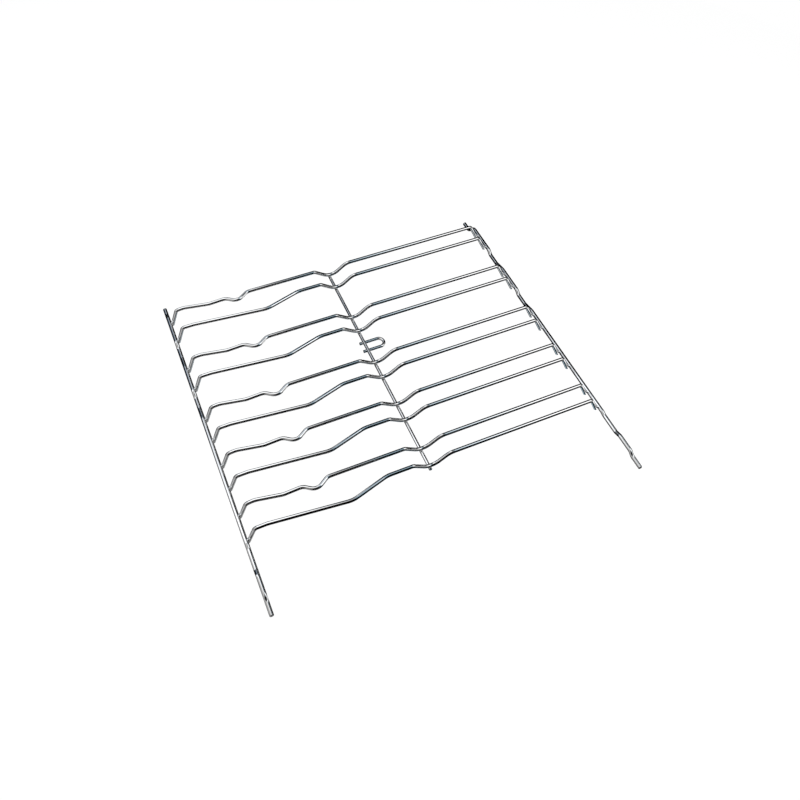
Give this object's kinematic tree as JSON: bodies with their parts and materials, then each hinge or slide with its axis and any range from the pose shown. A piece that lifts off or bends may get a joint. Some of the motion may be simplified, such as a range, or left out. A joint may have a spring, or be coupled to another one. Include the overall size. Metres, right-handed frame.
{
  "type": "oven side rack",
  "caption": "Ladder of welded chrome wire for an oven's side wall, with pairs of shaped rungs that hold the trays' rims, a brace and a small hook.",
  "frame": {"origin": "middle of the box on the plane that the rack lies on, wall side down", "axes": "+X along the rungs, towards their straight halves; +Y towards the rack's upper end; +Z away from the oven's wall, into the oven"},
  "size_m": [0.351, 0.3555, 0.029],
  "materials": {
    "chrome_wire": "polished"
  },
  "bodies": {
    "root": {"left_upright": "chrome_wire", "right_upright": "chrome_wire", "rung_1_upper": "chrome_wire", "rung_1_lower": "chrome_wire", "rung_2_upper": "chrome_wire", "rung_2_lower": "chrome_wire", "rung_3_upper": "chrome_wire", "rung_3_lower": "chrome_wire", "rung_4_upper": "chrome_wire", "rung_4_lower": "chrome_wire", "rung_5_upper": "chrome_wire", "rung_5_lower": "chrome_wire", "brace": "chrome_wire", "wall_hook": "chrome_wire"}
  },
  "joints": []
}
